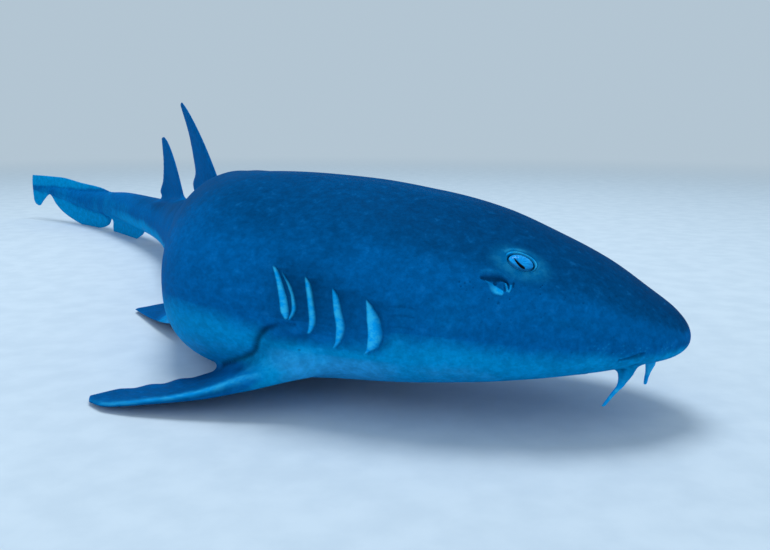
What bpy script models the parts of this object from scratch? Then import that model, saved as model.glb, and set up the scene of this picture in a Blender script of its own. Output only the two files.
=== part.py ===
"""A brownbanded bamboo shark, one metre long, lying on the floor as a still life-size model.

The body is described straight, along a spine that runs from the snout tip to the tail tip,
and is then bent: the trunk curls to the left behind the gills and the tail trails away.
A place on the straight body is (s, y, z): distance behind the snout tip, distance to the
animal's left, and height above the spine, all in hundredths of the total length.
The floor is z = 0, and whatever reaches it is pressed flat there.
"""

import math

import bmesh
import bpy
import numpy as np
from mathutils import Vector

TOTAL_LENGTH = 1.0
UNIT = TOTAL_LENGTH / 100
GAP = 0.0003 / UNIT  # clearance between neighbouring pieces, in the unit of the tables

# Spine: the way the animal faces, in degrees anticlockwise from +X, and the spine's height.
HEADING = [(0, -16.5), (12, -16.5), (18, -31), (24, -70), (31, -74), (40, -63), (50, -69),
           (62, -60), (76, -54), (100, -32)]
SPINE_HEIGHT = [(0, 3.6), (6, 4.1), (12, 4.5), (18, 4.6), (24, 4.35), (30, 4.3), (37, 3.8), (45, 3.25),
                (55, 3.0), (65, 3.2), (75, 3.2), (82, 3.0), (88, 3.1), (94, 3.6), (100, 4.0)]
SPINE_STEPS = 801

# Body at each place: half width, back above the spine, belly below it.
GIRTH = [
    (0.8, 2.13, 1.17, 0.78),
    (2, 3.34, 1.89, 1.11),
    (4, 4.55, 3.00, 1.68),
    (6.5, 5.46, 4.00, 2.31),
    (9, 5.87, 4.81, 2.88),
    (12, 6.10, 5.40, 3.33),
    (15, 6.00, 5.78, 3.60),
    (18, 5.78, 5.93, 4.06),
    (22, 5.58, 6.03, 4.36),
    (27, 5.12, 5.89, 4.42),
    (32, 4.50, 5.30, 4.25),
    (37, 3.55, 4.60, 3.50),
    (45, 2.75, 3.80, 2.70),
    (55, 2.25, 2.85, 1.90),
    (65, 1.80, 1.90, 1.80),
    (75, 1.45, 1.72, 1.48),
    (82, 1.10, 1.50, 1.20),
    (90, 0.70, 1.00, 0.80),
    (96, 0.42, 0.60, 0.45),
    (99, 0.22, 0.30, 0.22),
]
BACK_ROUNDNESS = (2.1, 2.0)  # superellipse powers across and up, above the spine
BELLY_ROUNDNESS = (2.5, 2.6)  # and below it, where the body is flatter
RING_POINTS = 26
RING_STEP = 1.1
SNOUT_RINGS = (0.06, 0.25)  # the first two rings, on the blunt tip
HEAD_RINGS = 15
HEAD_CROWDING = 1.6  # power that draws the head's rings together towards the snout

# The flesh is one body, parted by thin cuts: name, where it starts, and where the last one ends.
BODY_PIECES = [("head", 0), ("gill_region", 12.2), ("front_trunk", 18.6), ("rear_trunk", 27.5),
               ("tail_base", 37), ("tail_middle", 51), ("tail_end", 66)]
BODY_END = 80.6
CUT = 0.08  # width of a cut on the spine, wider than GAP as a bend closes it on its inner side

EYE_AT = 7.4
EYE_UP = 46  # degrees above the horizontal, round the head
EYE_HALF = (0.64, 0.44, 0.46)  # half length along the head, half depth into it, half height
EYE_SUNK = 0.22  # how far the eye's centre lies under the skin

# Upright fins: front and rear edge, from root to tip, as (share of the span, s, z).
FIRST_DORSAL = (
    [(0, 37.6, 3.4), (0.25, 38.4, 4.9), (0.6, 40.6, 8.2), (0.9, 43.6, 10.6), (1, 44.9, 11.1)],
    [(0, 46.0, 2.6), (0.25, 47.4, 4.5), (0.44, 45.0, 5.8), (0.7, 44.5, 8.2), (1, 45.7, 10.9)],
)
SECOND_DORSAL = (
    [(0, 53.2, 2.0), (0.25, 54.0, 3.3), (0.6, 56.2, 6.2), (0.9, 58.7, 8.0), (1, 59.7, 8.3)],
    [(0, 61.4, 1.3), (0.25, 63.4, 2.7), (0.42, 62.0, 4.0), (0.7, 60.9, 6.2), (1, 60.6, 8.1)],
)
ANAL = (
    [(0, 67.8, -1.2), (0.5, 70.2, -2.3), (1, 73.2, -3.35)],
    [(0, 80.0, -0.8), (0.5, 80.4, -1.9), (1, 80.5, -3.35)],
)
DORSAL_THICKNESS = [(0, 1.1), (0.3, 0.75), (1, 0.24)]
FIRST_DORSAL_LEAN = (4.4, 9)  # height of the hinge over the spine, and degrees to the animal's right
SECOND_DORSAL_LEAN = (3.0, 5)
ANAL_THICKNESS = [(0, 0.6), (1, 0.2)]

# Tail fin: height of its edges over the spine at each place. The notch is under the tip.
CAUDAL_UPPER = [(80.7, 1.6), (84, 1.95), (88, 2.05), (92.5, 2.1), (96.5, 1.9), (100, 1.7)]
CAUDAL_LOWER = [(80.7, -1.6), (82, -2.45), (85, -3.05), (88.5, -3.15), (91.5, -2.8), (93.5, -2.3),
                (95, -1.55), (96.4, -0.45), (97.8, -1.35), (98.8, -2.2), (99.5, -2.0), (99.9, -1.4),
                (100, -0.4)]
CAUDAL_PLACES = np.concatenate([np.arange(80.7, 94, 1.1), np.arange(94, 99.2, 0.5),
                                [99.5, 99.75, 99.9, 100]])
TAIL_BLADE = 0.22

# Paired fins: edges from root to tip, as (share of the span, out, back, height over the floor).
PECTORAL_ROOT = (15.6, 5.6)
PECTORAL_SWING = {"left": 32, "right": 74}  # degrees that a fin is swept back from straight out
PECTORAL_FRONT = [(0, -3.0, 0.2, 2.9), (0.15, -0.2, -0.2, 2.2), (0.36, 2.6, -0.4, 1.55),
                  (0.55, 5.0, -0.5, 0.95), (0.78, 7.8, -0.4, 0.5), (0.92, 9.5, -0.1, 0.25),
                  (1, 10.6, 0.7, 0.15)]
PECTORAL_REAR = [(0, 0.2, 3.0, 4.3), (0.15, 2.4, 3.5, 3.5), (0.36, 4.5, 5.0, 1.3), (0.55, 6.5, 4.5, 0.25),
                 (0.78, 8.8, 3.1, 0.12), (0.92, 10.4, 2.3, 0.1), (1, 11.0, 1.6, 0.1)]
PECTORAL_THICKNESS = [(0, 4.2), (0.15, 3.3), (0.36, 2.0), (0.6, 0.8), (1, 0.2)]
PELVIC_ROOT = (31.2, 3.9)
PELVIC_SWING = 50
PELVIC_FRONT = [(0, -2.4, -3.0, 1.2), (0.2, -0.7, -2.2, 0.8), (0.6, 2.3, -0.8, 0.4), (1, 5.7, 0.8, 0.2)]
PELVIC_REAR = [(0, 2.0, 4.0, 1.3), (0.2, 3.6, 4.6, 0.7), (0.6, 5.3, 3.9, 0.2), (1, 6.15, 1.6, 0.1)]
PELVIC_THICKNESS = [(0, 1.0), (0.4, 0.6), (1, 0.2)]

# Barbel: (share of its length, s, y, z, half width, half thickness).
BARBEL_PATHS = {
    "right": [(0, 2.45, 2.1, -0.5, 0.46, 0.2), (0.3, 2.56, 2.15, -1.3, 0.38, 0.16),
              (0.52, 2.68, 2.12, -1.95, 0.18, 0.12), (0.75, 2.98, 2.05, -2.5, 0.12, 0.1),
              (1, 3.33, 1.95, -3.2, 0.09, 0.08)],
    "left": [(0, 2.2, 2.1, -0.5, 0.46, 0.2), (0.3, 1.75, 2.15, -1.3, 0.42, 0.16),
             (0.6, 1.4, 2.1, -2.05, 0.26, 0.12), (0.78, 1.45, 2.05, -2.55, 0.13, 0.1),
             (1, 1.5, 1.95, -3.1, 0.09, 0.08)],
}

SKIN = (0.002, 0.107, 0.319)
FIN = (0.002, 0.068, 0.214)
BARBEL = (0.073, 0.393, 0.787)
EYE = (0.171, 0.539, 0.890)


def through(keys, places):
    """A smooth curve through (place, value) keys that never overshoots a key."""
    x, y = np.array(keys, float).T
    places = np.clip(places, x[0], x[-1])
    gaps = np.diff(x)
    slopes = np.diff(y) / gaps
    tangents = np.concatenate([slopes[:1], np.zeros(len(x) - 2), slopes[-1:]])
    for i in range(1, len(x) - 1):
        if slopes[i - 1] * slopes[i] > 0:
            before = 2 * gaps[i] + gaps[i - 1]
            after = gaps[i] + 2 * gaps[i - 1]
            tangents[i] = (before + after) / (before / slopes[i - 1] + after / slopes[i])
    i = np.clip(np.searchsorted(x, places, side="right") - 1, 0, len(gaps) - 1)
    t = (places - x[i]) / gaps[i]
    rise = y[i + 1] - y[i]
    start, end = tangents[i] * gaps[i], tangents[i + 1] * gaps[i]
    return y[i] + t * start + t**2 * (3 * rise - 2 * start - end) + t**3 * (start + end - 2 * rise)


def spine_frames():
    """Places along the spine, its points there, and the forward, left and up directions."""
    places = np.linspace(0, 100, SPINE_STEPS)
    heading = np.radians(through(HEADING, places))
    height = through(SPINE_HEIGHT, places)
    climb = np.gradient(height, places)
    level = np.sqrt(1 - climb**2)
    forward = np.stack([np.cos(heading) * level, np.sin(heading) * level, -climb], 1)
    steps = (forward[1:] + forward[:-1]) / 2 * np.diff(places)[:, None]
    points = np.concatenate([np.zeros((1, 3)), -np.cumsum(steps, 0)])
    points[:, 2] = height
    left = np.stack([-np.sin(heading), np.cos(heading), np.zeros_like(heading)], 1)
    return places, points, forward, left, np.cross(forward, left)


PLACES, SPINE, FORWARD, LEFT, UP = spine_frames()


def at(values, s):
    return np.stack([np.interp(s, PLACES, values[:, k]) for k in range(3)], -1)


def bend(points):
    """Takes points of the straight body to the lying one, in metres, nothing under the floor."""
    points = np.asarray(points, float)
    s = np.clip(points[..., 0], 0, 100)
    beyond = (s - points[..., 0])[..., None]
    posed = at(SPINE, s) + beyond * at(FORWARD, s)
    posed += points[..., 1:2] * at(LEFT, s) + points[..., 2:3] * at(UP, s)
    posed[..., 2] = np.maximum(posed[..., 2], 0)
    return posed * UNIT


def girth(s):
    """Half width, back height and belly depth at a place. The snout is round, so they grow as its root."""
    keys = np.array([(0, 0, 0, 0)] + GIRTH, float)
    keys[:, 0] = np.sqrt(keys[:, 0])
    return [through(keys[:, (0, column)], np.sqrt(s)) for column in (1, 2, 3)]


def on_skin(s, degrees, grow=0.0):
    """A point of the body's surface: degrees run from the left side, 0, over the back, 90."""
    width, back, belly = girth(s)
    across, up = np.cos(np.radians(degrees)), np.sin(np.radians(degrees))
    above = up >= 0
    y = np.sign(across) * np.abs(across) ** (2 / np.where(above, BACK_ROUNDNESS[0], BELLY_ROUNDNESS[0]))
    z = np.sign(up) * np.abs(up) ** (2 / np.where(above, BACK_ROUNDNESS[1], BELLY_ROUNDNESS[1]))
    return np.stack([s + 0 * y, y * (width + grow), z * (np.where(above, back, belly) + grow)], -1)


def collection(name):
    made = bpy.data.collections.new(name)
    bpy.context.scene.collection.children.link(made)
    return made


def material(name, colour, roughness):
    made = bpy.data.materials.new(name)
    made.use_nodes = True
    shader = made.node_tree.nodes["Principled BSDF"]
    shader.inputs["Base Color"].default_value = (*colour, 1)
    shader.inputs["Roughness"].default_value = roughness
    shader.inputs["Metallic"].default_value = 0
    return made


def add_object(name, mesh, finish, group):
    data = bpy.data.meshes.new(name)
    mesh.to_mesh(data)
    mesh.free()
    data.materials.append(finish)
    data.shade_smooth()
    made = bpy.data.objects.new(name, data)
    group.objects.link(made)
    return made


def loft(name, rings, finish, group):
    """A closed body through rings of points, capped at both ends."""
    mesh = bmesh.new()
    rows = [[mesh.verts.new(Vector(point)) for point in ring] for ring in rings]
    for row, following in zip(rows, rows[1:]):
        for i in range(len(row)):
            j = (i + 1) % len(row)
            mesh.faces.new((row[i], row[j], following[j], following[i]))
    mesh.faces.new(rows[0][::-1])
    mesh.faces.new(rows[-1])
    bmesh.ops.recalc_face_normals(mesh, faces=mesh.faces)
    return add_object(name, mesh, finish, group)


def ring_places(start, end):
    """Where the rings of one body piece stand. They crowd together on the round snout."""
    last = end - CUT / 2
    if start == 0:
        tip, second = SNOUT_RINGS
        shares = np.linspace(0, 1, HEAD_RINGS) ** HEAD_CROWDING
        return np.concatenate([[tip], second + (last - second) * shares])
    first = start + CUT / 2
    return np.linspace(first, last, max(3, round((last - first) / RING_STEP) + 1))


def body_rings(places, grow=0.0):
    turn = np.arange(RING_POINTS) * 360 / RING_POINTS
    return [bend(on_skin(place, turn, grow)) for place in places]


def cut(obj, cutter):
    modifier = obj.modifiers.new("cut_" + cutter.name, "BOOLEAN")
    modifier.operation = "DIFFERENCE"
    modifier.solver = "EXACT"
    modifier.object = cutter


def as_cutter(obj):
    obj.hide_render = True
    obj.display_type = "WIRE"
    return obj


def foil(front, rear, thickness, normal, count=9):
    """A closed section from a fin's front edge to its rear edge, thickest near the front."""
    along = (1 - np.cos(np.linspace(0, math.pi, count))) / 2
    half = thickness / 2 * (1.55 * np.sqrt(along) - 1.35 * along + 0.12 * along * (1 - along))
    half = np.maximum(half, 0.045 * np.sin(math.pi * np.clip(along, 0.08, 0.92)) ** 0.3)
    half[0] = 0
    half[-1] = 0.03
    middle = front + along[:, None] * (rear - front)
    upper = middle + half[:, None] * normal
    lower = middle - half[:, None] * normal
    return np.concatenate([upper, lower[:0:-1]])


def fin_rings(front_edge, rear_edge, thickness, rows):
    """Sections from a fin's root to its tip. The edges are keys (share of the span, x, y, z)."""
    shares = np.sin(np.linspace(0, math.pi / 2, rows))
    front = np.stack([through([(key[0], key[k]) for key in front_edge], shares) for k in (1, 2, 3)], -1)
    rear = np.stack([through([(key[0], key[k]) for key in rear_edge], shares) for k in (1, 2, 3)], -1)
    middle = (front + rear) / 2
    spanwise = np.gradient(middle, shares, axis=0)
    normals = np.cross(rear - front, spanwise)
    normals /= np.linalg.norm(normals, axis=1)[:, None]
    depths = through(thickness, shares)
    return [foil(f, r, d, n) for f, r, d, n in zip(front, rear, depths, normals)]


def lean(points, root, degrees):
    """Tips an upright fin over to the animal's right, about its root."""
    points = np.array(points, float)
    tipped = np.maximum(points[..., 2] - root, 0) * math.tan(math.radians(degrees))
    points[..., 1] -= tipped
    return points


def upright_fin(name, front_edge, rear_edge, thickness, rows, finish, group, leaning=(0, 0)):
    """A fin on the midline. Its edge keys are (share of the span, s, z)."""
    edges = [[(share, s, 0, z) for share, s, z in keys] for keys in (front_edge, rear_edge)]
    rings = [bend(lean(ring, *leaning)) for ring in fin_rings(*edges, thickness, rows)]
    return loft(name, rings, finish, group)


def paired_fin(name, side, root_at, swing, front_edge, rear_edge, thickness, rows, finish, group):
    """A fin beside the belly. Its keys are (share, out, back, height over the floor).

    root_at is the front of its base as (s, y); swing turns the fin about that point, in degrees.
    """
    s, y = root_at
    base = bend((s, side * y, 0)) / UNIT
    heading = math.radians(float(through(HEADING, s)))
    turn = math.radians(swing) + math.pi / 2
    out = np.array([math.cos(heading + side * turn), math.sin(heading + side * turn), 0])
    back = np.array([-out[1], out[0], 0]) * side
    rings = []
    for ring in fin_rings(front_edge, rear_edge, thickness, rows):
        placed = base * (1, 1, 0) + ring[:, :1] * out + ring[:, 1:2] * back + ring[:, 2:] * (0, 0, 1)
        placed[:, 2] = np.maximum(placed[:, 2], 0)
        rings.append(placed * UNIT)
    return loft(name, rings, finish, group)


def eye_shape(name, side, grow, finish, group):
    """An ellipsoid that lies along the head, flush with the skin. grow makes the socket's cutter."""
    turn = 90 - side * (90 - EYE_UP)
    ahead, behind = (bend(on_skin(EYE_AT + step, turn)) for step in (-0.5, 0.5))
    over, under = (bend(on_skin(EYE_AT, turn + side * step)) for step in (4, -4))
    along = (ahead - behind) / np.linalg.norm(ahead - behind)
    outward = np.cross(over - under, along) * side
    outward /= np.linalg.norm(outward)
    middle = bend(on_skin(EYE_AT, turn)) - outward * EYE_SUNK * UNIT
    upward = np.cross(along, outward)
    mesh = bmesh.new()
    bmesh.ops.create_uvsphere(mesh, u_segments=16, v_segments=10, radius=1)
    half = (np.array(EYE_HALF) + grow) * UNIT
    for vert in mesh.verts:
        x, y, z = vert.co
        vert.co = Vector(middle + x * half[0] * along + y * half[1] * outward + z * half[2] * upward)
    return add_object(name, mesh, finish, group)


def tail_rings(upper_edge, lower_edge, places):
    """Sections of the tail fin: a thin blade above and below the tapering spine, in one."""
    share = (1 - np.cos(np.linspace(0, math.pi, 11))) / 2
    rings = []
    for place in places:
        top, bottom = float(through(upper_edge, place)), float(through(lower_edge, place))
        z = bottom + (top - bottom) * share
        width, back, belly = girth(min(place, 99))
        flesh = width * np.sqrt(np.clip(1 - (z / np.where(z > 0, back, belly)) ** 2, 0, 1))
        blade = TAIL_BLADE * np.sqrt(np.sin(math.pi * np.clip(share, 0.02, 0.98)))
        half = np.maximum(flesh, blade) * min(1, 0.4 + (100 - place))
        half[0] = half[-1] = 0
        side = np.stack([np.full_like(z, place), half, z], 1)
        rings.append(bend(np.concatenate([side, side[-2:0:-1] * (1, -1, 1)])))
    return rings


def barbel(name, side, path, finish, group):
    """A feeler that hangs from the nostril: a broad root, then a slender tip."""
    rings = []
    turn = np.radians(np.arange(10) * 36)
    keys = np.array(path)
    for share in np.linspace(0, 1, 12):
        centre = np.array([float(through([(key[0], key[k]) for key in keys], share)) for k in (1, 2, 3)])
        wide, thin = (float(through([(key[0], key[k]) for key in keys], share)) for k in (4, 5))
        ring = centre + np.stack([wide * np.cos(turn), thin * np.sin(turn), 0 * turn], 1)
        ring[:, 1] *= side
        rings.append(bend(ring))
    return loft(name, rings, finish, group)


def build():
    for obj in list(bpy.data.objects):
        bpy.data.objects.remove(obj)
    animal, cutters = collection("bamboo_shark"), collection("cutters")
    skin = material("skin", SKIN, 0.5)
    fin_skin = material("fin_skin", FIN, 0.55)
    feeler = material("barbel_skin", BARBEL, 0.5)
    eyeball = material("eyeball", EYE, 0.15)

    ends = [start for _, start in BODY_PIECES[1:]] + [BODY_END]
    spans = {name: ring_places(start, end) for (name, start), end in zip(BODY_PIECES, ends)}
    body = {name: loft(name, body_rings(places), skin, animal) for name, places in spans.items()}

    def flesh_cutter(name, *pieces):
        places = np.concatenate([spans[piece] for piece in pieces])
        return as_cutter(loft(name, body_rings(places, GAP), skin, cutters))

    loft("caudal_fin", tail_rings(CAUDAL_UPPER, CAUDAL_LOWER, CAUDAL_PLACES), fin_skin, animal)
    shoulders = flesh_cutter("shoulders", "head", "gill_region", "front_trunk", "rear_trunk")
    hips = flesh_cutter("hips", "rear_trunk", "tail_base")
    rump = flesh_cutter("rump", "tail_base", "tail_middle")
    stalk = flesh_cutter("stalk", "tail_middle", "tail_end")

    first = upright_fin("first_dorsal_fin", *FIRST_DORSAL, DORSAL_THICKNESS, 9, fin_skin, animal,
                        FIRST_DORSAL_LEAN)
    cut(first, rump)
    second = upright_fin("second_dorsal_fin", *SECOND_DORSAL, DORSAL_THICKNESS, 9, fin_skin, animal,
                         SECOND_DORSAL_LEAN)
    cut(second, stalk)
    anal = upright_fin("anal_fin", *ANAL, ANAL_THICKNESS, 6, fin_skin, animal)
    cut(anal, stalk)
    for name, side in (("left", 1), ("right", -1)):
        pectoral = paired_fin(f"pectoral_fin_{name}", side, PECTORAL_ROOT, PECTORAL_SWING[name],
                              PECTORAL_FRONT, PECTORAL_REAR, PECTORAL_THICKNESS, 13, fin_skin, animal)
        cut(pectoral, shoulders)
        pelvic = paired_fin(f"pelvic_fin_{name}", side, PELVIC_ROOT, PELVIC_SWING,
                            PELVIC_FRONT, PELVIC_REAR, PELVIC_THICKNESS, 9, fin_skin, animal)
        cut(pelvic, hips)
        eye_shape(f"eye_{name}", side, 0, eyeball, animal)
        cut(body["head"], as_cutter(eye_shape(f"socket_{name}", side, GAP, skin, cutters)))
        cut(barbel(f"barbel_{name}", side, BARBEL_PATHS[name], feeler, animal), shoulders)

    stand_on_origin(animal, cutters)


def stand_on_origin(*groups):
    """Moves everything so that the floor point under the middle of the animal is the origin."""
    bpy.context.view_layer.update()
    corners = [obj.matrix_world @ vert.co for obj in groups[0].objects for vert in obj.data.vertices]
    low = [min(corner[k] for corner in corners) for k in (0, 1)]
    high = [max(corner[k] for corner in corners) for k in (0, 1)]
    middle = Vector(((low[0] + high[0]) / 2, (low[1] + high[1]) / 2, 0))
    for group in groups:
        for obj in group.objects:
            obj.location -= middle


build()
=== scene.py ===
"""Looks of a brownbanded bamboo shark, one metre long, at rest on a plain pale floor.

One skin covers the whole animal. It is made from the same named sizes as the solids: the body is
described straight, along a spine from the snout tip to the tail tip, and then bent. A place on the
straight body is (s, y, z): distance behind the snout tip, distance to the animal's left, and height
above the spine, all in hundredths of the total length, which are centimetres here.
"""

import math

import bmesh
import bpy
import numpy as np
from mathutils import Matrix, Vector
from mathutils.bvhtree import BVHTree


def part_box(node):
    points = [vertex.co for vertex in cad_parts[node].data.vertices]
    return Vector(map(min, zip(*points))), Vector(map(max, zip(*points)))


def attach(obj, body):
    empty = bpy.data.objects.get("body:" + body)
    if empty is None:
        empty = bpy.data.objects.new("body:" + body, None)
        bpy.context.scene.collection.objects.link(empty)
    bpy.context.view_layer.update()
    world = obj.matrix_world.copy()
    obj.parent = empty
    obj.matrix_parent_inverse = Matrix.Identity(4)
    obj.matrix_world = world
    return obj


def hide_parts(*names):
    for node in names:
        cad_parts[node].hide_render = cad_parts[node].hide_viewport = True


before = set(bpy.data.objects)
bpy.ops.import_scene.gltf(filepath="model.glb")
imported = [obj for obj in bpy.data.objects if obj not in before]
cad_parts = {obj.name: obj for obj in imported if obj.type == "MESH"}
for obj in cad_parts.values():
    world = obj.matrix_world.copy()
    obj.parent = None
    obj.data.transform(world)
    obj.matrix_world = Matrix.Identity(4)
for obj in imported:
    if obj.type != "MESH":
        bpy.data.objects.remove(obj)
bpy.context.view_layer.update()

TOTAL_LENGTH = 1.0
UNIT = TOTAL_LENGTH / 100

# Spine: the way the animal faces, in degrees anticlockwise from +X, and the spine's height.
HEADING = [(0, -16.5), (12, -16.5), (18, -31), (24, -70), (31, -74), (40, -63), (50, -69),
           (62, -60), (76, -54), (100, -32)]
SPINE_HEIGHT = [(0, 3.6), (6, 4.1), (12, 4.5), (18, 4.6), (24, 4.35), (30, 4.3), (37, 3.8), (45, 3.25),
                (55, 3.0), (65, 3.2), (75, 3.2), (82, 3.0), (88, 3.1), (94, 3.6), (100, 4.0)]
SPINE_STEPS = 801

# Body at each place: half width, back above the spine, belly below it.
GIRTH = [
    (0.8, 2.13, 1.17, 0.78), (2, 3.34, 1.89, 1.11), (4, 4.55, 3.00, 1.68), (6.5, 5.46, 4.00, 2.31),
    (9, 5.87, 4.81, 2.88), (12, 6.1, 5.4, 3.33), (15, 6.00, 5.78, 3.6), (18, 5.78, 5.93, 4.06),
    (22, 5.58, 6.03, 4.36), (27, 5.12, 5.89, 4.42), (32, 4.5, 5.3, 4.25), (37, 3.55, 4.6, 3.5),
    (45, 2.75, 3.8, 2.7), (55, 2.25, 2.85, 1.9), (65, 1.8, 1.9, 1.8), (75, 1.45, 1.72, 1.48),
    (82, 1.1, 1.5, 1.2), (90, 0.7, 1.00, 0.8), (96, 0.42, 0.6, 0.45), (99, 0.22, 0.3, 0.22),
]
BODY_RINGS, BODY_ROUND = 620, 220
BACK_ROUNDNESS = (2.1, 2.0)  # superellipse powers across and up, above the spine
BELLY_ROUNDNESS = (2.5, 2.6)  # and below it, where the body is flatter

SIDES = {"left": 1, "right": -1}

EYE_PLACE = (7.4, 46)  # s, and degrees above the horizontal, round the head
EYE_HALF = (0.64, 0.44, 0.46)  # half length along the head, half depth into it, half height
EYE_SUNK = 0.22  # how far the eye's centre lies under the skin
EYE_OPENING = (0.585, 0.4)  # half length and half height of the opening in the skin
EYE_PIT = 0.5
LID_FOLD, LID_CREASE, BROW = 1.24, 1.48, 1.72  # rings over the eye, as multiples of its opening

# Upright fins: front and rear edge from root to tip, as (share of the span, s, z); the thickness; and
# the height over the spine that the fin is tipped about, with the degrees to the animal's right.
DORSAL_THICKNESS = [(0, 1.1), (0.3, 0.75), (1, 0.24)]
FIRST_DORSAL = (
    [(0, 37.6, 3.4), (0.25, 38.4, 4.9), (0.6, 40.6, 8.2), (0.9, 43.6, 10.6), (1, 44.9, 11.1)],
    [(0, 46.0, 2.6), (0.25, 47.4, 4.5), (0.44, 45.0, 5.8), (0.7, 44.5, 8.2), (1, 45.7, 10.9)],
    DORSAL_THICKNESS, (4.4, 9))
SECOND_DORSAL = (
    [(0, 53.2, 2.0), (0.25, 54.0, 3.3), (0.6, 56.2, 6.2), (0.9, 58.7, 8.0), (1, 59.7, 8.3)],
    [(0, 61.4, 1.3), (0.25, 63.4, 2.7), (0.42, 62.0, 4.0), (0.7, 60.9, 6.2), (1, 60.6, 8.1)],
    DORSAL_THICKNESS, (3.0, 5))
ANAL = (
    [(0, 67.8, -1.2), (0.5, 70.2, -2.3), (1, 73.2, -3.35)],
    [(0, 80.0, -0.8), (0.5, 80.4, -1.9), (1, 80.5, -3.35)],
    [(0, 0.6), (1, 0.2)], (0, 0))

# Tail fin: height of its edges over the spine at each place. The notch is under the tip.
CAUDAL_UPPER = [(80.7, 1.6), (84, 1.95), (88, 2.05), (92.5, 2.1), (96.5, 1.9), (100, 1.7)]
CAUDAL_LOWER = [(80.7, -1.6), (82, -2.45), (85, -3.05), (88.5, -3.15), (91.5, -2.8), (93.5, -2.3),
                (95, -1.55), (96.4, -0.45), (97.8, -1.35), (98.8, -2.2), (99.5, -2.0), (99.9, -1.4),
                (100, -0.4)]
CAUDAL_SPAN = (79.5, 100)
TAIL_BLADE = 0.22

# Paired fins: the root's s and y; front and rear edge from root to tip, as (share of the span, out,
# back, height over the floor); the thickness. They are swept back by some degrees from straight out.
PECTORAL_FIN = (
    (15.6, 5.6),
    [(0, -3.0, 0.2, 2.9), (0.15, -0.2, -0.2, 2.2), (0.36, 2.6, -0.4, 1.55), (0.55, 5.0, -0.5, 0.95),
     (0.78, 7.8, -0.4, 0.5), (0.92, 9.5, -0.1, 0.25), (1, 10.6, 0.7, 0.15)],
    [(0, 0.2, 3.0, 4.3), (0.15, 2.4, 3.5, 3.5), (0.36, 4.5, 5.0, 1.3), (0.55, 6.5, 4.5, 0.25),
     (0.78, 8.8, 3.1, 0.12), (0.92, 10.4, 2.3, 0.1), (1, 11.0, 1.6, 0.1)],
    [(0, 4.2), (0.15, 3.3), (0.36, 2.0), (0.6, 0.8), (1, 0.2)])
PELVIC_FIN = (
    (31.2, 3.9),
    [(0, -2.4, -3.0, 1.2), (0.2, -0.7, -2.2, 0.8), (0.6, 2.3, -0.8, 0.4), (1, 5.7, 0.8, 0.2)],
    [(0, 2.0, 4.0, 1.3), (0.2, 3.6, 4.6, 0.7), (0.6, 5.3, 3.9, 0.2), (1, 6.15, 1.6, 0.1)],
    [(0, 1.0), (0.4, 0.6), (1, 0.2)])
PECTORAL_SWING = {"left": 32, "right": 74}
PELVIC_SWING = 50
LEAST_HALF, REAR_HALF = 0.045, 0.03  # half thickness that a fin keeps, and has at its rear edge

# Barbel: (share of its length, s, y, z, half width, half thickness).
BARBEL_PATHS = {
    "right": [(0, 2.45, 2.1, -0.5, 0.46, 0.2), (0.3, 2.56, 2.15, -1.3, 0.38, 0.16),
              (0.52, 2.68, 2.12, -1.95, 0.18, 0.12), (0.75, 2.98, 2.05, -2.5, 0.12, 0.1),
              (1, 3.33, 1.95, -3.2, 0.09, 0.08)],
    "left": [(0, 2.2, 2.1, -0.5, 0.46, 0.2), (0.3, 1.75, 2.15, -1.3, 0.42, 0.16),
             (0.6, 1.4, 2.1, -2.05, 0.26, 0.12), (0.78, 1.45, 2.05, -2.55, 0.13, 0.1),
             (1, 1.5, 1.95, -3.1, 0.09, 0.08)],
}

# Gill slits, from the first to the fifth: (height over the spine, front edge, rear edge), as s.
GILL_SLITS = [
    [(1.27, 13.21, 13.24), (0.97, 12.94, 13.2), (0.37, 12.58, 13.14), (-0.22, 12.47, 13.09),
     (-0.82, 12.67, 13.14), (-1.14, 13.2, 13.26)],
    [(1.57, 14.48, 14.54), (1.25, 14.27, 14.5), (0.6, 14.1, 14.41), (-0.05, 13.96, 14.31),
     (-0.7, 14.12, 14.35), (-1.02, 14.35, 14.46)],
    [(1.92, 15.53, 15.6), (1.62, 15.34, 15.54), (1.03, 15.19, 15.42), (0.13, 15.06, 15.32),
     (-0.25, 15.14, 15.35), (-0.48, 15.25, 15.4)],
    [(1.98, 16.43, 16.49), (1.48, 16.07, 16.2), (0.99, 15.88, 16.02), (0.51, 15.8, 15.97),
     (0.27, 15.87, 16.01), (0.02, 16.00, 16.14)],
    [(2.2, 16.78, 16.92), (1.93, 16.6, 16.8), (1.39, 16.36, 16.62), (0.84, 16.18, 16.5),
     (0.3, 16.1, 16.42), (0.02, 16.12, 16.27)],
]
SLIT_DEPTH = 0.17
FLAP_RISE = 0.06  # how far the free edge of a gill flap stands over the skin
WRINKLES = (1.04, 0.68, 0.2)  # heights of the short folds in front of the first slit

# Fine forms are strokes: rows of (u, v, half width) on the skin round a place, forward and up.
SPIRACLE_PLACE = (8.15, 31)
SPIRACLE_HOLLOW = [(-0.64, 0.06, 0.08), (-0.42, 0.09, 0.15), (-0.12, 0.14, 0.16), (0.15, 0.2, 0.09),
                   (0.36, 0.13, 0.05), (0.46, 0.04, 0.03)]
SPIRACLE_POCKET = [(-0.12, 0.1, 0.1), (-0.06, -0.08, 0.07)]
SPIRACLE_VALVE = [(-0.47, -0.04, 0.03), (-0.25, -0.16, 0.08), (-0.02, -0.34, 0.14), (0.25, -0.38, 0.1)]
SPIRACLE_STREAKS = [[(0.34, 0.06, 0.03), (0.41, -0.08, 0.035), (0.48, -0.24, 0.04)],
                    [(0.57, 0.03, 0.03), (0.58, -0.14, 0.035), (0.54, -0.25, 0.04)]]
SPIRACLE_GAPS = [[(0.43, 0.1, 0.03), (0.51, -0.1, 0.03)],
                 [(0.36, -0.12, 0.05), (0.4, -0.24, 0.05)],
                 [(0.66, 0.16, 0.04), (0.68, 0.0, 0.03)]]
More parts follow.
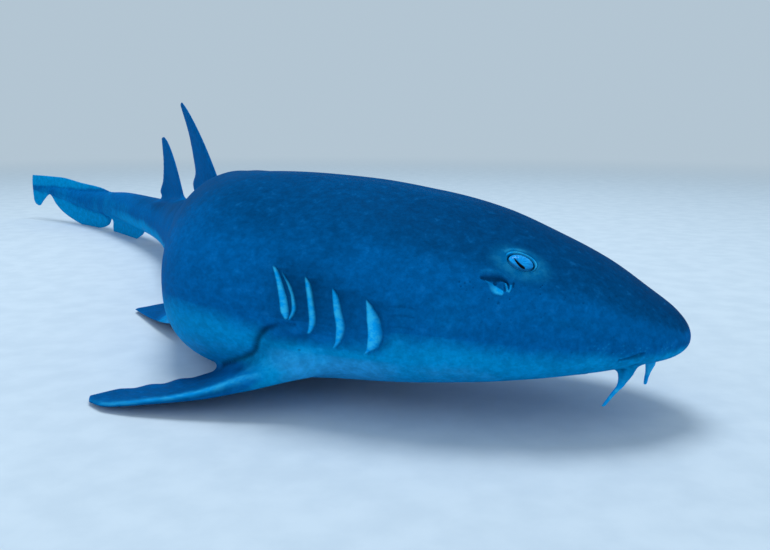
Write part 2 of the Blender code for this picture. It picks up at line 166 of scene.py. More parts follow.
NOSTRIL_PLACE = (2.55, -5)
NOSTRIL = [(-0.5, -0.22, 0.03), (0.0, -0.12, 0.06), (0.4, -0.04, 0.1), (0.65, 0.03, 0.06)]
MOUTH_AT, MOUTH_ARCH, MOUTH_HALF = 4.9, 0.42, 2.2  # its middle, how far its corners lie back, half width
MOUTH_FOLDS = [(0, 0.1, -0.24), (-0.24, 0.13, 0.09), (0.27, 0.16, 0.09), (0.62, 0.1, -0.07),
               (0.86, 0.14, 0.04)]  # how far behind its line, half width, rise
# The creases behind the root of a pectoral fin, as (s, height over the spine, half width).
AXIL = [(15.9, -0.18, 0.06), (16.4, -0.27, 0.1), (16.85, -0.46, 0.13), (17.17, -0.71, 0.15),
        (17.48, -1.2, 0.16), (17.78, -1.85, 0.15), (18.3, -2.25, 0.14), (18.9, -2.6, 0.13),
        (19.8, -3.15, 0.12)]
SHOULDER_FOLD = [(15.3, -0.6, 0.15), (15.7, -0.75, 0.25), (16.3, -1.00, 0.38), (17.0, -1.4, 0.42),
                 (17.6, -1.95, 0.36), (18.3, -2.6, 0.3)]
SHOULDER_RIDGE = [(14.9, -1.2, 0.12), (15.6, -1.45, 0.2), (16.4, -1.86, 0.24), (17.25, -2.35, 0.24),
                  (17.95, -2.78, 0.2)]
# Pores and spots on the side: s, height over the spine, radius, how dark and how pale.
PORES = [(9.4, 2.23, 0.045, 0.5, 0), (9.52, 2.1, 0.035, 0.5, 0), (9.22, 2.3, 0.035, 0.5, 0),
         (9.62, 2.26, 0.03, 0.5, 0), (9.3, 1.98, 0.03, 0.5, 0), (7.95, 1.6, 0.05, 0.5, 0),
         (15.78, -1.35, 0.05, 0.7, 0), (14.96, -1.71, 0.22, 0, 0.3)]

PORE_SEED, CHEEK_PORES, LIP_FLECKS = 7, 110, 60  # how many more are strewn by chance
SADDLE_AT, SADDLE_SPACING = 16.5, 8.2  # the faint darker bands over the back

# The slit pupil, from the middle of the eye: forward and up, and degrees that its front end dips.
PUPIL_AT = (-0.05, -0.15)
PUPIL_TURN = -27
PUPIL_LENGTH = 0.31  # half of it
PUPIL_THICKNESS = (0.048, 0.015)  # half of it in the middle, and how much it grows to the front end
PUPIL_SAG = 0.08
IRIS_HALF = (0.55, 0.385)

# Patterns of the hide, in metres. Scales are really about 0.4 mm across, and drawn larger to show.
CLOUD, FLECK, GRAIN, SCALE = 0.035, 0.004, 0.0016, 0.0009
RAY_SPACING = 0.0013  # fin rays are fine horny threads
FIN_SIZE = (0.05, 0.1, 0)  # a usual fin across and along
# Wet hide is near 1.4 and a cornea 1.376, but under water neither has much gloss.
HIDE_IOR, EYE_IOR = 1.03, 1.1

# Studio, in metres, degrees and watts.
BACKDROP = "#C6DAE9"
BACKDROP_STRENGTH = 0.8
FLOOR_RADIUS = 9
FLOOR_GAP = 0.0004  # between the floor and the belly, so that the two don't flicker
FLOOR_FADE = (0.9, 2.2)  # where the floor starts to fade into the backdrop, and where it has
LIGHT_COLOUR = "#E4F0FC"
LIGHTS = {  # width, power, place and target
    "overhead_softbox": (0.8, 15, (0.05, 0.1, 1.5), (0, -0.1, 0)),
    "front_fill": (1.2, 3, (-0.5, -1.5, 0.7), (0, -0.1, 0.05)),
}
CAMERA_FROM_SNOUT = (-0.136, -0.355, 0.133)
CAMERA_TILT = 10.92  # degrees under level
CAMERA_LENS = 38.57

VOXEL = 0.0011  # spacing of the skin's points, in metres, before the head's is refined
SKIN_REACH, FIN_REACH = 1.5, 1.3  # how far the skin looks for a solid, and for a fin near it
SWELL = 0.06  # how much the thin fins are thickened while the skin is made, and then drawn back


def through(keys, places):
    """A smooth curve through (place, value) keys that never overshoots a key."""
    x, y = np.array(keys, float).T
    places = np.clip(places, x[0], x[-1])
    gaps = np.diff(x)
    slopes = np.diff(y) / gaps
    tangents = np.concatenate([slopes[:1], np.zeros(len(x) - 2), slopes[-1:]])
    for i in range(1, len(x) - 1):
        if slopes[i - 1] * slopes[i] > 0:
            before = 2 * gaps[i] + gaps[i - 1]
            after = gaps[i] + 2 * gaps[i - 1]
            tangents[i] = (before + after) / (before / slopes[i - 1] + after / slopes[i])
    i = np.clip(np.searchsorted(x, places, side="right") - 1, 0, len(gaps) - 1)
    t = (places - x[i]) / gaps[i]
    rise = y[i + 1] - y[i]
    start, end = tangents[i] * gaps[i], tangents[i + 1] * gaps[i]
    return y[i] + t * start + t**2 * (3 * rise - 2 * start - end) + t**3 * (start + end - 2 * rise)


def columns(keys, places):
    """A smooth curve through each column of (place, value, value...) keys."""
    keys = np.array(keys, float)
    return [through(keys[:, (0, k)], places) for k in range(1, keys.shape[1])]


def spine_frames():
    """Places along the spine, its points there, and the forward, left and up directions."""
    places = np.linspace(0, 100, SPINE_STEPS)
    heading = np.radians(through(HEADING, places))
    height = through(SPINE_HEIGHT, places)
    climb = np.gradient(height, places)
    level = np.sqrt(1 - climb**2)
    forward = np.stack([np.cos(heading) * level, np.sin(heading) * level, -climb], 1)
    steps = (forward[1:] + forward[:-1]) / 2 * np.diff(places)[:, None]
    points = np.concatenate([np.zeros((1, 3)), -np.cumsum(steps, 0)])
    points[:, 2] = height
    left = np.stack([-np.sin(heading), np.cos(heading), np.zeros_like(heading)], 1)
    return places, points, forward, left, np.cross(forward, left)


PLACES, SPINE, FORWARD, LEFT, UP = spine_frames()


def at(values, s):
    """Values along the spine, read at the places s."""
    return np.stack([np.interp(s, PLACES, values[:, k]) for k in range(3)], -1)


def bend(points):
    """Takes points of the straight body to the lying one, nothing under the floor."""
    points = np.asarray(points, float)
    s = np.clip(points[..., 0], 0, 100)
    beyond = (s - points[..., 0])[..., None]
    posed = at(SPINE, s) + beyond * at(FORWARD, s)
    posed += points[..., 1:2] * at(LEFT, s) + points[..., 2:3] * at(UP, s)
    posed[..., 2] = np.maximum(posed[..., 2], 0)
    return posed


def straighten(points):
    """The place on the straight body of each point of the lying one."""
    places, spine = PLACES[::8], SPINE[::8, :2]
    s = np.concatenate([places[((part[:, None, :2] - spine) ** 2).sum(2).argmin(1)]
                        for part in np.array_split(points, len(points) // 20000 + 1)])
    for _ in range(14):
        s = np.clip(s - 0.8 * ((points - at(SPINE, s)) * at(FORWARD, s)).sum(1), 0, 100)
    offset = points - at(SPINE, s)
    ahead = (offset * at(FORWARD, s)).sum(1)
    return np.stack([s - ahead, (offset * at(LEFT, s)).sum(1), (offset * at(UP, s)).sum(1)], 1)


def girth(s):
    """Half width, back height and belly depth at a place. The snout is round, so they grow as its root."""
    keys = np.array([(0, 0, 0, 0)] + GIRTH, float)
    keys[:, 0] = np.sqrt(keys[:, 0])
    return columns(keys, np.sqrt(s))


def girth_near(s, first=0.5):
    """The girth, kept off the very ends, where it is nothing."""
    return girth(np.clip(s, first, 99))


def roundness(above):
    """The powers across and up, for points above and below the spine."""
    return [np.where(above, back, belly) for back, belly in zip(BACK_ROUNDNESS, BELLY_ROUNDNESS)]


def on_skin(s, degrees):
    """A point of the body's surface: degrees run from the left side, 0, over the back, 90."""
    width, back, belly = girth(s)
    across, up = np.cos(np.radians(degrees)), np.sin(np.radians(degrees))
    power_across, power_up = roundness(up >= 0)
    y = np.sign(across) * np.abs(across) ** (2 / power_across)
    z = np.sign(up) * np.abs(up) ** (2 / power_up)
    return np.stack([s + 0 * y, y * width, z * np.where(up >= 0, back, belly)], -1)


def smooth(low, high, value):
    """An eased step from 0 at low to 1 at high, which may be the lower of the two."""
    t = np.clip((value - low) / (high - low), 0, 1)
    return t * t * (3 - 2 * t)


def stretch(value, start, full, fading, end):
    """1 from full to fading, eased to 0 at start and at end."""
    return smooth(start, full, value) * (1 - smooth(fading, end, value))


def bump(centre, width, value):
    """A soft hump, 1 in its centre."""
    return np.exp(-(((value - centre) / width) ** 2))


# ---- solids that the skin is drawn over ----


def lofted(rings, chart=None):
    """Points and faces of a closed body through rings, with each face's (span, chord) in a fin's chart."""
    rings = np.array(rings, float)
    rows, count = rings.shape[:2]
    grid = np.arange(rows * count).reshape(rows, count)
    beside = np.roll(grid, -1, 1)
    faces = np.stack([grid[:-1], beside[:-1], beside[1:], grid[1:]], -1).reshape(-1, 4)
    caps = [list(grid[0][::-1]), list(grid[-1])]
    table = np.zeros((len(faces) + 2, 2))
    if chart is not None:
        table[:len(faces)] = chart[:-1].reshape(-1, 2)
    return rings.reshape(-1, 3), faces.tolist() + caps, table


def body_solid():
    """The body from snout to tail tip, through rings that crowd towards the snout."""
    turn = np.arange(BODY_ROUND) * 360 / BODY_ROUND
    places = 0.02 + 98.9 * np.linspace(0, 1, BODY_RINGS) ** 1.35
    return lofted([bend(on_skin(place, turn)) for place in places])


def foil(front, rear, thickness, normal, along):
    """A closed section from a fin's front edge to its rear edge, thickest near the front."""
    half = thickness / 2 * (1.55 * np.sqrt(along) - 1.35 * along + 0.12 * along * (1 - along))
    half = np.maximum(half, LEAST_HALF * np.sin(math.pi * np.clip(along, 0.08, 0.92)) ** 0.3)
    half[0] = 0
    half[-1] = REAR_HALF
    middle = front + along[:, None] * (rear - front)
    upper = middle + half[:, None] * normal
    lower = middle - half[:, None] * normal
    return np.concatenate([upper, lower[:0:-1]])


def fin_rings(front_edge, rear_edge, thickness, rows=64, count=41):
    """Sections from a fin's root to its tip, and each point's (span, chord)."""
    shares = np.sin(np.linspace(0, math.pi / 2, rows))
    along = (1 - np.cos(np.linspace(0, math.pi, count))) / 2
    front, rear = (np.stack(columns(edge, shares), -1) for edge in (front_edge, rear_edge))
    spanwise = np.gradient((front + rear) / 2, shares, axis=0)
    normals = np.cross(rear - front, spanwise)
    normals /= np.linalg.norm(normals, axis=1)[:, None]
    depths = through(thickness, shares)
    rings = [foil(f, r, d, n, along) for f, r, d, n in zip(front, rear, depths, normals)]
    chords = np.concatenate([along, along[:0:-1]])
    chart = np.stack(np.broadcast_arrays(shares[:, None], chords[None, :]), -1)
    return np.array(rings), chart


def upright_fin(front_edge, rear_edge, thickness, leaning):
    """A fin on the midline, tipped over to the animal's right about its hinge."""
    edges = [[(share, s, 0, z) for share, s, z in keys] for keys in (front_edge, rear_edge)]
    rings, chart = fin_rings(*edges, thickness)
    hinge, degrees = leaning
    rings[..., 1] -= np.maximum(rings[..., 2] - hinge, 0) * math.tan(math.radians(degrees))
    return lofted(bend(rings), chart)


def paired_fin(side, swing, root_at, front_edge, rear_edge, thickness):
    """A fin beside the belly."""
    s, y = root_at
    base = bend((s, side * y, 0))
    heading = math.radians(through(HEADING, s))
    turn = math.radians(swing) + math.pi / 2
    out = np.array([math.cos(heading + side * turn), math.sin(heading + side * turn), 0])
    back = np.array([-out[1], out[0], 0]) * side
    rings, chart = fin_rings(front_edge, rear_edge, thickness)
    placed = base * (1, 1, 0) + rings[..., :1] * out + rings[..., 1:2] * back + rings[..., 2:] * (0, 0, 1)
    placed[..., 2] = np.maximum(placed[..., 2], 0)
    return lofted(placed, chart)


def tail_blade():
    """The tail fin: a thin blade above and below the tapering spine."""
    share = (1 - np.cos(np.linspace(0, math.pi, 61))) / 2
    places = np.linspace(*CAUDAL_SPAN, 150)
    rings, chart = [], []
    for place in places:
        top, bottom = through(CAUDAL_UPPER, place), through(CAUDAL_LOWER, place)
        z = bottom + (top - bottom) * share
        half = TAIL_BLADE * np.sqrt(np.sin(math.pi * np.clip(share, 0.02, 0.98)))
        half *= min(1, 0.4 + (100 - place))
        half[0] = half[-1] = 0
        side = np.stack([np.full_like(z, place), half, z], 1)
        rings.append(bend(np.concatenate([side, side[-2:0:-1] * (1, -1, 1)])))
        row = np.stack([np.abs(share * 2 - 1), np.full_like(share, (place - 80) / 20)], 1)
        chart.append(np.concatenate([row, row[-2:0:-1]]))
    return lofted(rings, np.array(chart))


def barbel(side, path):
    """A feeler that hangs from the nostril: a broad root, then a slender tip."""
    turn = np.radians(np.arange(20) * 18)
    rings, chart = [], []
    for share in np.linspace(0, 1, 50):
        s, y, z, wide, thin = columns(path, share)
        ring = np.array([s, y, z]) + np.stack([wide * np.cos(turn), thin * np.sin(turn), 0 * turn], 1)
        ring[:, 1] *= side
        rings.append(bend(ring))
        chart.append(np.stack([np.full(20, share), np.full(20, 0.5)], 1))
    return lofted(rings, np.array(chart))


BODY, TAIL, UPRIGHT, PECTORAL, PELVIC, BARBEL = range(6)


def solids():
    """Every solid under the skin, as (kind, points, faces, chart)."""
    made = [(BODY, *body_solid()), (TAIL, *tail_blade())]
    made += [(UPRIGHT, *upright_fin(*fin)) for fin in (FIRST_DORSAL, SECOND_DORSAL, ANAL)]
    for name, side in SIDES.items():
        made += [(PECTORAL, *paired_fin(side, PECTORAL_SWING[name], *PECTORAL_FIN)),
                 (PELVIC, *paired_fin(side, PELVIC_SWING, *PELVIC_FIN)),
                 (BARBEL, *barbel(side, BARBEL_PATHS[name]))]
    return made


def swollen(points, faces):
    """Points moved out along their normals, so that a thin fin survives being drawn over."""
    mesh = bpy.data.meshes.new("swollen")
    mesh.from_pydata(points.tolist(), [], faces)
    work = bmesh.new()
    work.from_mesh(mesh)
    outward = math.copysign(1, work.calc_volume(signed=True))
    normals = np.array([vert.normal for vert in work.verts]) * outward
    work.free()
    bpy.data.meshes.remove(mesh)
    return points + normals * SWELL


def joined(parts):
    """Points and faces of several solids in one."""
    starts = np.cumsum([0] + [len(points) for points, _ in parts]).tolist()
    faces = [[start + i for i in face] for start, (_, part) in zip(starts, parts) for face in part]
    return np.concatenate([points for points, _ in parts]), faces


def linked(name, data):
    """An object of the scene that holds a mesh, a light or a camera."""
    made = bpy.data.objects.new(name, data)
    bpy.context.scene.collection.objects.link(made)
    return made


def dressed(name, mesh, finish):
    """A smooth object of one finish."""
    mesh.materials.clear()
    mesh.materials.append(finish)
    mesh.shade_smooth()
    return linked(name, mesh)


def mesh_from(work, name):
    mesh = bpy.data.meshes.new(name)
    work.to_mesh(mesh)
    work.free()
    return mesh


def drawn_over(points, faces):
    """One closed mesh of even quads around overlapping solids."""
    mesh = bpy.data.meshes.new("rough_skin")
    mesh.from_pydata((points * UNIT).tolist(), [], faces)
    rough = linked("rough_skin", mesh)
    remesh = rough.modifiers.new("even", "REMESH")
    remesh.mode = "VOXEL"
    remesh.voxel_size = VOXEL
    bpy.context.view_layer.update()
    even = bpy.data.meshes.new_from_object(rough.evaluated_get(bpy.context.evaluated_depsgraph_get()))
    bpy.data.objects.remove(rough)
    bpy.data.meshes.remove(mesh)
    return even


def rows_of(items, field, width, kind):
    """One field of all points or edges of a mesh, as rows."""
    flat = np.empty(len(items) * width, kind)
    items.foreach_get(field, flat)
    return flat.reshape(-1, width)


def points_of(mesh):
    return rows_of(mesh.vertices, "co", 3, float) / UNIT


def normals_of(mesh):
    return rows_of(mesh.vertex_normals, "vector", 3, np.float32)


def edges_of(mesh):
    return rows_of(mesh.edges, "vertices", 2, np.int32)


def set_points(mesh, points):
    mesh.vertices.foreach_set("co", (points * UNIT).astype(np.float32).ravel())
    mesh.update()


def eased(points, edges, share, rounds):
    """Points drawn towards the middle of their neighbours, each by its own share, round after round."""
    used = (share[edges] > 0).any(1)
    a, b = edges[used].T
    count = np.maximum(np.bincount(a, minlength=len(points)) + np.bincount(b, minlength=len(points)), 1)
    moving = share > 0
    for _ in range(rounds):
        middle = np.stack([np.bincount(a, column[b], len(points)) + np.bincount(b, column[a], len(points))
                           for column in points.T], 1) / count[:, None]
        points = np.where(moving[:, None], points + share[:, None] * (middle - points), points)
    return points


def nearest(tree, points, reach):
    """The place on a tree nearest to each point, its face and its distance: -1 and reach if none is near."""
    places, faces, gaps = points.copy(), np.full(len(points), -1), np.full(len(points), float(reach))
    for i, point in enumerate(points):
        place, _, face, gap = tree.find_nearest(point, reach)
        if face is not None:
            places[i], faces[i], gaps[i] = place, face, gap
    return places, faces, gaps


def refined(mesh, chosen):
    """Splits every face all of whose points are chosen into four."""
    work = bmesh.new()
    work.from_mesh(mesh)
    work.verts.ensure_lookup_table()
    flags = chosen.tolist()
    edges = [edge for edge in work.edges if flags[edge.verts[0].index] and flags[edge.verts[1].index]]
    bmesh.ops.subdivide_edges(work, edges=edges, cuts=1, use_grid_fill=True)
    work.to_mesh(mesh)
    work.free()


def patch(points, s, degrees, side):
    """Points seen from a place on the skin: forward, up along the skin, and out of it."""
    turn = 90 - side * (90 - degrees)
    ahead, behind = (bend(on_skin(s + step, turn)) for step in (-0.5, 0.5))
    over, under = (bend(on_skin(s, turn + side * step)) for step in (4, -4))
    forward = (ahead - behind) / np.linalg.norm(ahead - behind)
    outward = np.cross(over - under, forward) * side
    outward /= np.linalg.norm(outward)
    upward = np.cross(forward, outward) * side
    return (points - bend(on_skin(s, turn))) @ np.stack([forward, upward, outward], 1)


def turned(u, v, degrees):
    """Directions u and v as seen after a turn."""
    cos, sin = math.cos(math.radians(degrees)), math.sin(math.radians(degrees))
    return u * cos + v * sin, v * cos - u * sin


# ---- the skin ----

FILLET = np.array([0, 0, 0.8, 0.55, 0.6, 0.3])  # how far each kind blends into the body


def tree_of(parts):
    points, faces = joined([(part[1], part[2]) for part in parts])
    return BVHTree.FromPolygons(points.tolist(), faces)


def of_faces(parts, faces):
    """The kind of the part that each face belongs to, and its (span, chord)."""
    kinds = np.concatenate([[part[0]] * len(part[2]) for part in parts])
    charts = np.concatenate([part[3] for part in parts])
    return kinds[np.maximum(faces, 0)], charts[np.maximum(faces, 0)]


def bare_skin(parts):
    """The skin without its fine forms, as a mesh of even quads that blends into every fin."""
    covered = [(part[1] if part[0] == BODY else swollen(part[1], part[2]), part[2]) for part in parts]
    mesh = drawn_over(*joined(covered))
    edges = edges_of(mesh)
    points = points_of(mesh)
    trunk, limbs = tree_of(parts[:2]), tree_of(parts[2:])
    to_limb, limb_face, limb_gap = nearest(limbs, points, SKIN_REACH)
    to_trunk, _, trunk_gap = nearest(trunk, points, SKIN_REACH)
    points = np.where((limb_gap < trunk_gap)[:, None], to_limb, to_trunk)

    reach = FILLET[of_faces(parts[2:], limb_face)[0]]
    gap = np.maximum(limb_gap, trunk_gap)
    share = np.where(limb_face >= 0, 1 - smooth(0.35 * reach, reach, gap), 0)
    points = eased(points, edges, 0.5 * share, 40)
    points = eased(points, edges, np.full(len(points), 0.3), 1)
    points = eased(points, edges, np.where(limb_gap < 0.3, 0.3, 0), 2)
    points[:, 2] = np.maximum(points[:, 2], 0)
    set_points(mesh, points)
    return mesh


def rounded(points, clear):
    """Points of the head set back on its true round form, clear of the fins."""
    place = straighten(points)
    s, y, z = place.T
    width, back, belly = girth_near(s, 0.01)
    across, upward = roundness(z >= 0)
    height = np.where(z >= 0, back, belly)
    scale = np.ones(len(s))
    for _ in range(4):
        fill = (scale * np.abs(y) / width) ** across + (scale * np.abs(z) / height) ** upward
        scale *= fill ** (-1 / 2.2)
    true = bend(np.stack([s, y * scale, z * scale], 1))
    near = clear & (s > 0.8) & (s < 27) & (np.abs(scale - 1) < 0.1) & (points[:, 2] > 0.002)
    return np.where(near[:, None], true, points)


def stroke(points, path):
    """How far points of a plane lie from a smooth path of (u, v, half width), in half widths."""
    keys = np.column_stack([np.linspace(0, 1, len(path)), path])
    u, v, half = columns(keys, np.linspace(0, 1, 48))
    return (np.hypot(points[:, :1] - u, points[:, 1:2] - v) / half).min(1)


def marks(points, paths, soft):
    """Strokes along paths, 1 in their middle and 0 outside."""
    return np.max([1 - smooth(1 - soft, 1 + soft, stroke(points, path)) for path in paths], 0)


# Every form below gives the skin's lift, how much it turns pale and how much it turns dark.


def gill_forms(place):
    """Five slits on a side: a raised flap edge in front, a drop, and a pale lining that ramps back. Painted
    shade darkens the skin in front of each slit and the short folds before the first.
    """
    s, _, z = place.T
    lift, pale, dark = np.zeros((3, len(s)))
    for slit in GILL_SLITS:
        top, bottom = slit[0][0], slit[-1][0]
        front, rear = columns(slit[::-1], z)
        open_here = stretch(z, bottom - 0.05, bottom + 0.06, top - 0.08, top + 0.06)
        wide = rear - front
        back = np.clip((s - front) / wide, 0, 1)
        inside = stretch(s, front - 0.03, front + 0.04, rear - 0.02, rear + 0.02) * open_here
        lift -= inside * (0.02 + SLIT_DEPTH * (1 - 0.85 * back) * smooth(0, 0.3, wide))
        ahead = np.minimum(s - front, 0)
        lift += FLAP_RISE * open_here * smooth(0.0, -0.05, s - front) * np.exp(ahead / 0.35)
        soft = stretch(s, front - 0.02, front + 0.16, rear - 0.02, rear + 0.02) * open_here
        pale = np.maximum(pale, soft * (0.15 + 0.85 * smooth(-0.05, 0.7, back)))
        # Painted shade on the skin just in front of each slit, deeper towards the top.
        shade = (0.22 + 0.22 * smooth(-0.6, 1.2, z)) * (s < front + 0.08)
        dark = np.maximum(dark, shade * open_here * np.exp(ahead / 0.5))
    wrinkles = marks(place[:, ::2], [[(12.3, at_z, 0.05), (11.7, at_z + 0.05, 0.05), (11.2, at_z, 0.03)]
                                     for at_z in WRINKLES], 0.8)
    # The short folds are darkened with painted shade.
    return lift - 0.02 * wrinkles, pale, np.maximum(dark, 0.25 * wrinkles)


def eye_forms(place):
    """Round the eye: a sunken hollow behind the eyeball, a dark rim, and over it a lid fold, a crease and a
    brow. The hollow, the rim and the crease are darkened with painted shade.
    """
    u, v = place[:, 0] / EYE_OPENING[0], place[:, 1] / EYE_OPENING[1]
    ring = np.hypot(u, v)
    over = np.clip(v / np.maximum(ring, 0.3), 0, 1)
    far = 1 + (ring - 1) / (0.34 + 0.66 * over)
    above = smooth(-0.35, 0.35, (0.3 * u + 0.95 * v) / np.maximum(ring, 0.3))
    ahead = u / np.maximum(ring, 0.3)
    lift = -EYE_PIT * (1 - smooth(0.86, 1.0, ring))
    lift += (0.02 + 0.05 * above) * bump(LID_FOLD, 0.14, far)
    lift -= 0.02 * above * bump(LID_CREASE, 0.08, far)
    lift += 0.03 * above * bump(BROW, 0.28, far)
    pale = above * (0.7 * bump(1.27, 0.18, far) + 0.32 * bump(1.68, 0.3, far) * smooth(0.5, -0.3, ahead))
    pale = np.maximum(pale, 0.2 * (1 - smooth(1.1, 2.8, ring)))
    # Painted shade: a dark rim round the opening, lighter below, and the hollow within it.
    dark = np.maximum((1 - 0.5 * smooth(0, -0.5, v)) * bump(0.985, 0.045, ring), ring < 0.97)
    # Painted shade in the crease over the eye.
    dark = np.maximum(dark, 0.3 * above * bump(LID_CREASE, 0.05, far) * smooth(-0.4, 0.2, ahead))
    return lift, pale * (1 - dark), dark


def spiracle_forms(place):
    """The breathing hole behind the eye: an arched fold over a hollow with a pale valve in it. The hollow,
    its pocket and the gaps by the streaks are darkened with painted shade.
    """
    hollow = stroke(place, SPIRACLE_HOLLOW)
    inside = 1 - smooth(0.2, 1.6, hollow)
    pocket = marks(place, [SPIRACLE_POCKET], 0.7)
    valve = marks(place, [SPIRACLE_VALVE], 0.4)
    streaks = marks(place, SPIRACLE_STREAKS, 0.7)
    gaps = marks(place, SPIRACLE_GAPS, 0.7)
    over = smooth(0.0, 0.25, place[:, 1] - 0.12)
    lift = -0.09 * np.maximum(inside, pocket) + 0.04 * over * bump(2.1, 0.7, hollow)
    lift += 0.04 * valve + 0.02 * streaks - 0.03 * gaps
    bright = np.maximum(valve * (0.15 + 0.6 * smooth(-0.3, 0.1, place[:, 0])), 0.5 * streaks)
    pale = np.maximum(bright, 0.08 * over * bump(2.1, 0.7, hollow))
    # Painted shade in the hollow, its pocket and the gaps.
    dark = np.maximum(0.62 * np.maximum(inside, 0.8 * pocket), 0.45 * gaps)
    return lift, pale, dark * (1 - np.clip(1.4 * bright, 0, 1))


def nostril_forms(place):
    """A short groove along the rim of the snout, over the root of the feeler, darkened with painted shade.
    """
    groove = stroke(place, NOSTRIL)
    inside = 1 - smooth(0.3, 1.6, groove)
    # Painted shade in the groove.
    return -0.08 * inside + 0.03 * bump(2.4, 0.8, groove), 0 * inside, 0.4 * inside


def mouth_forms(place):
    """Under the snout: an arched mouth with lips, a fold across the chin, and grooves to the nostrils.
    Painted shade darkens the mouth's line, the grooves and the nostrils.
    """
    s, y, z = place.T
    out = np.abs(y)
    under = smooth(-0.15, -0.45, z / np.maximum(girth_near(s)[2], 0.1)) * (z < 0)
    mouth = s - MOUTH_AT - MOUTH_ARCH * (out / MOUTH_HALF) ** 2
    here = under * (1 - smooth(2.15, 2.45, out))
    groove = under * bump(2.32, 0.09, out + 0.06 * (s - 3.6)) * stretch(s, 2.5, 2.8, 5.0, 5.4)
    fold = under * bump(2.62, 0.12, out + 0.06 * (s - 4.6)) * stretch(s, 3.9, 4.3, 5.6, 6.0)
    nostril = under * bump(2.35, 0.2, s) * bump(2.75, 0.28, out)
    lift = here * sum(rise * bump(*fold_at, mouth) for *fold_at, rise in MOUTH_FOLDS)
    lift += 0.06 * fold - 0.14 * groove - 0.2 * nostril
    # Painted shade in the mouth's line, the grooves and the nostrils.
    dark = np.clip(0.8 * here * bump(0, 0.09, mouth) + 0.5 * groove + 0.8 * nostril, 0, 1)
    return lift, 0 * dark, dark


def axil_forms(place):
    """The crease over and behind the root of each pectoral fin, and the fold and the ridge under it: painted
    shade in the crease and on the fold, painted light along the ridge.
    """
    s, y, z = place.T
    crease = np.exp(-stroke(place[:, ::2], AXIL) ** 2) * (1 - smooth(5.9, 6.5, np.abs(y)))
    crease *= np.where(y < 0, 1, 1 - smooth(17.4, 18.0, s))
    fold = 1 - smooth(0, 1.6, stroke(place[:, ::2], SHOULDER_FOLD))
    ridge = 1 - smooth(0, 1.6, stroke(place[:, ::2], SHOULDER_RIDGE))
    # Painted shade in the crease and on the fold; the ridge's pale is painted light.
    dark = np.maximum((0.15 + 0.6 * smooth(16.2, 17.2, s)) * crease, 0.28 * fold)
    return -0.1 * crease - 0.05 * fold, 0.22 * ridge, dark


def flank_forms(place):
    """Soft folds on the inner side of the bend, and the shallow furrow along the back."""
    s, y, z = place.T
    width = girth_near(s, 1)[0]
    inner = stretch(s, 17, 21, 29, 33) * smooth(0.45, 0.95, y / np.maximum(width, 0.1))
    inner *= stretch(z, -3.5, -1.0, 3.0, 5.0)
    furrow = (z > 0) * stretch(s, 8, 13, 34, 38) * bump(0, 0.55, y)
    return 0.035 * inner * np.sin(s * 4.1 + 0.5 * np.sin(z * 1.3)) - 0.06 * furrow


def pore_forms(place):
    """Small sense pores on the cheek, a little cluster behind the spiracle, and pale flecks on the lip."""
    s, _, z = place.T
    lift, pale, dark = np.zeros((3, len(s)))
    rng = np.random.default_rng(PORE_SEED)
    spots = PORES + [(rng.uniform(1.2, 9.5), rng.uniform(-0.9, 2.4), 0.026, 0.22, 0)
                     for _ in range(CHEEK_PORES)]
    spots += [(rng.uniform(0.8, 4.5), rng.uniform(-0.8, 0.3), 0.03, 0, 0.2) for _ in range(LIP_FLECKS)]
    for at_s, at_z, size, darker, paler in spots:
        near = np.flatnonzero((np.abs(s - at_s) < 4 * size) & (np.abs(z - at_z) < 4 * size))
        spot = np.exp(-((s[near] - at_s) ** 2 + (z[near] - at_z) ** 2) / size**2)
        lift[near] -= 0.03 * spot * (darker > 0)
        dark[near] = np.maximum(dark[near], darker * spot)
        pale[near] = np.maximum(pale[near], paler * spot)
    return lift, pale, dark


def within(local, *half):
    return (np.abs(local) < half).all(1)


def refine_head(mesh, limbs):
    """Splits the quads of the head once, of its openings twice, and of the eyes' surroundings thrice."""
    for level in range(3):
        points = points_of(mesh)
        place = straighten(points)
        s, y, z = place.T
        if level == 0:
            chosen = (s < 18.2) & (np.abs(y) < 6.6) & (z > -3.7)
        else:
            chosen = np.zeros(len(s), bool)
            for side in SIDES.values():
                chosen |= within(patch(points, *EYE_PLACE, side), 1.5, 1.15, 1.1)
                chosen |= within(patch(points, *SPIRACLE_PLACE, side), 1.05, 0.8, 0.8)
        if level == 1:
            for slit in GILL_SLITS:
                front, rear = columns(slit[::-1], z)
                chosen |= ((s > front - 0.2) & (s < rear + 0.15) & (z < slit[0][0] + 0.15)
                           & (z > slit[-1][0] - 0.15) & (np.abs(y) > 4))
            chosen |= (s > 1.9) & (s < 3.3) & (np.abs(z + 0.2) < 0.4) & (np.abs(y) > 2.8)
        refined(mesh, chosen)
        points = points_of(mesh)
        _, limb_face, _ = nearest(limbs, points, FIN_REACH)
        points = eased(points, edges_of(mesh), np.where(straighten(points)[:, 0] < 19, 0.35, 0.0), 2)
        set_points(mesh, rounded(points, limb_face < 0))


